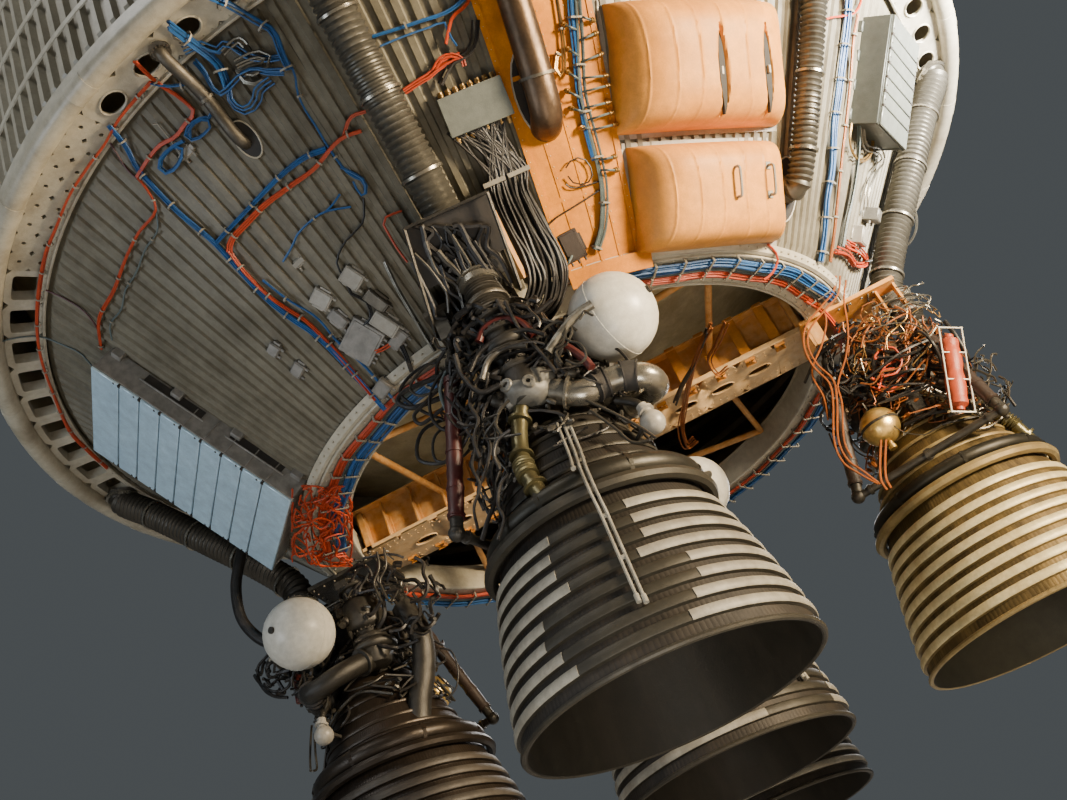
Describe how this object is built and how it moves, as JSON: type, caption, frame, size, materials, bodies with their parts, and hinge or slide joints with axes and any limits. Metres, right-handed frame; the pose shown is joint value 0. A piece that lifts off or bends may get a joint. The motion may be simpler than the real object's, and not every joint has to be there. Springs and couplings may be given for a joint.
{
  "type": "rocket stage tail section with engines",
  "caption": "Round tail section of a rocket stage: domed tank, skirt and thrust cone, with gimballed bell engines, feed ducts, equipment boxes and covers below.",
  "frame": {"origin": "centre of the forward joint ring, on the stage axis", "axes": "+Z along the stage axis, forward, away from the bells; -Y towards engine b, -X towards engine a"},
  "size_m": [10.06, 10.06, 10.658],
  "materials": {
    "paint": "old cream-grey paint, dulled and streaked",
    "primer": "orange-tan primer",
    "foam": "aged insulation foam",
    "aluminium": "bare panels",
    "cover_shell": "cream moulded covers",
    "nickel": "heat-tinted tube wall and bands",
    "cast_metal": "cast housings",
    "steel_duct": "satin steel duct",
    "ribbed_duct": "dull ribbed duct",
    "white_tank": "off-white paint",
    "brass_bottle": "golden bottle",
    "red_cover": "dark red cover",
    "blue_cable": "blue sleeved cable",
    "orange_cable": "orange-red sleeved cable",
    "black_cable": "black sleeved cable"
  },
  "bodies": {
    "structure": {"aft_skirt": "paint", "cover_inboard": "cover_shell", "cover_outboard": "cover_shell", "distribution_box": "aluminium", "drain_line": "ribbed_duct", "engine_beam": "primer", "engine_c_chamber": "nickel", "engine_c_crossover_duct": "steel_duct", "engine_c_fuel_pump": "cast_metal", "engine_c_gas_bottles": "white_tank", "engine_c_oxidiser_pump": "cast_metal", "equipment_box_left": "aluminium", "equipment_box_right": "aluminium", "feed_duct_a": "ribbed_duct", "feed_duct_b": "ribbed_duct", "feed_duct_d": "ribbed_duct", "feed_duct_f": "ribbed_duct", "forward_ring": "paint", "lower_ring": "paint", "oxidiser_tank": "foam", "skirt_flange": "paint", "supply_duct": "ribbed_duct", "thrust_cone": "paint", "thrust_pad_a": "primer", "thrust_pad_b": "primer", "thrust_pad_c": "primer", "thrust_pad_d": "primer", "thrust_pad_f": "primer", "vent_duct": "ribbed_duct"},
    "gimbal_a": {"gimbal_cross_a": "cast_metal"},
    "engine_a": {"engine_a_actuators": "red_cover", "engine_a_chamber": "nickel", "engine_a_crossover_duct": "steel_duct", "engine_a_fuel_pump": "cast_metal", "engine_a_gas_bottles": "white_tank", "engine_a_oxidiser_pump": "cast_metal"},
    "gimbal_b": {"gimbal_cross_b": "cast_metal"},
    "engine_b": {"engine_b_actuators": "red_cover", "engine_b_chamber": "nickel", "engine_b_crossover_duct": "steel_duct", "engine_b_fuel_pump": "cast_metal", "engine_b_gas_bottles": "white_tank", "engine_b_oxidiser_pump": "cast_metal"},
    "gimbal_d": {"gimbal_cross_d": "cast_metal"},
    "engine_d": {"engine_d_actuators": "red_cover", "engine_d_chamber": "nickel", "engine_d_crossover_duct": "steel_duct", "engine_d_fuel_pump": "cast_metal", "engine_d_gas_bottles": "white_tank", "engine_d_oxidiser_pump": "cast_metal"},
    "gimbal_f": {"gimbal_cross_f": "cast_metal"},
    "engine_f": {"engine_f_actuators": "red_cover", "engine_f_chamber": "nickel", "engine_f_crossover_duct": "steel_duct", "engine_f_fuel_pump": "cast_metal", "engine_f_gas_bottles": "white_tank", "engine_f_oxidiser_pump": "cast_metal"}
  },
  "joints": [
    {"name": "engine_a_pitch", "type": "hinge", "parent": "structure", "child": "gimbal_a", "pos_m": [-2.67, 0, -4.455], "axis": [0, -1, 0], "range_deg": [-7, 7]},
    {"name": "engine_a_yaw", "type": "hinge", "parent": "gimbal_a", "child": "engine_a", "pos_m": [-2.67, 0, -4.565], "axis": [1, 0, 0], "range_deg": [-7, 7]},
    {"name": "engine_b_pitch", "type": "hinge", "parent": "structure", "child": "gimbal_b", "pos_m": [0, -2.67, -4.455], "axis": [1, 0, 0], "range_deg": [-7, 7]},
    {"name": "engine_b_yaw", "type": "hinge", "parent": "gimbal_b", "child": "engine_b", "pos_m": [0, -2.67, -4.565], "axis": [0, 1, 0], "range_deg": [-7, 7]},
    {"name": "engine_d_pitch", "type": "hinge", "parent": "structure", "child": "gimbal_d", "pos_m": [2.67, 0, -4.455], "axis": [0, 1, 0], "range_deg": [-7, 7]},
    {"name": "engine_d_yaw", "type": "hinge", "parent": "gimbal_d", "child": "engine_d", "pos_m": [2.67, 0, -4.565], "axis": [-1, 0, 0], "range_deg": [-7, 7]},
    {"name": "engine_f_pitch", "type": "hinge", "parent": "structure", "child": "gimbal_f", "pos_m": [0, 2.67, -4.455], "axis": [-1, 0, 0], "range_deg": [-7, 7]},
    {"name": "engine_f_yaw", "type": "hinge", "parent": "gimbal_f", "child": "engine_f", "pos_m": [0, 2.67, -4.565], "axis": [0, -1, 0], "range_deg": [-7, 7]}
  ]
}
